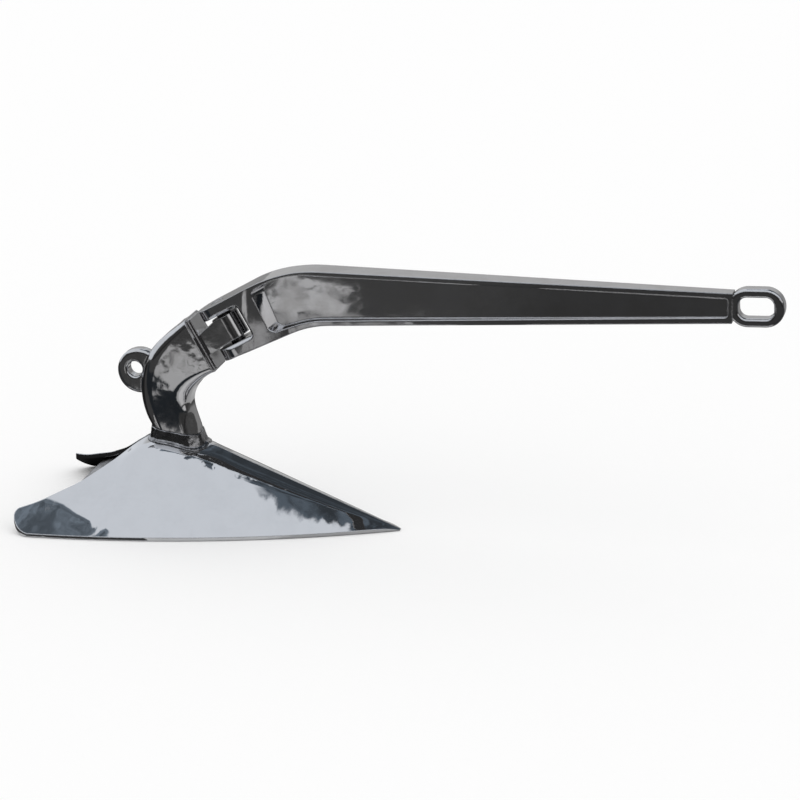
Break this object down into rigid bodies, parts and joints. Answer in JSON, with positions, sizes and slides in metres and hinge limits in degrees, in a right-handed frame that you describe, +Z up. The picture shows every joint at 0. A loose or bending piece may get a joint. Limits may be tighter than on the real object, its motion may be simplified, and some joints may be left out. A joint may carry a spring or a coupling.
{
  "type": "plough anchor",
  "caption": "Boat anchor with a plough-shaped fluke folded from two curved plates, a curved horn and an I-section shank that swings on a hinge pin.",
  "frame": {"origin": "middle of the bounding box at its base: on the floor, in the plane of symmetry", "axes": "+X from the heel of the plough towards the shackle eye, +Y to port, +Z up; the plough's lower edges lie on Z = 0"},
  "size_m": [0.914, 0.2704, 0.3367],
  "materials": {
    "forging": "mirror-polished stainless steel",
    "pin": "turned stainless steel",
    "casting": "mirror-polished stainless steel",
    "weld": "dressed and polished weld",
    "plate": "mirror-polished stainless plate",
    "ballast": "as cast, matt"
  },
  "bodies": {
    "plough": {"horn": "casting", "horn_collar": "weld", "tripping_eye": "casting", "blade_port": "plate", "blade_starboard": "plate", "cross_stay": "plate", "nose_weight": "ballast"},
    "shank": {"shank": "forging", "hinge_pin": "pin"}
  },
  "joints": [
    {"name": "shank_swing", "type": "hinge", "parent": "plough", "child": "shank", "pos_m": [-0.214, 0, 0.2435], "axis": [-0.5, 0, 0.866], "range_deg": [-75, 75]}
  ]
}
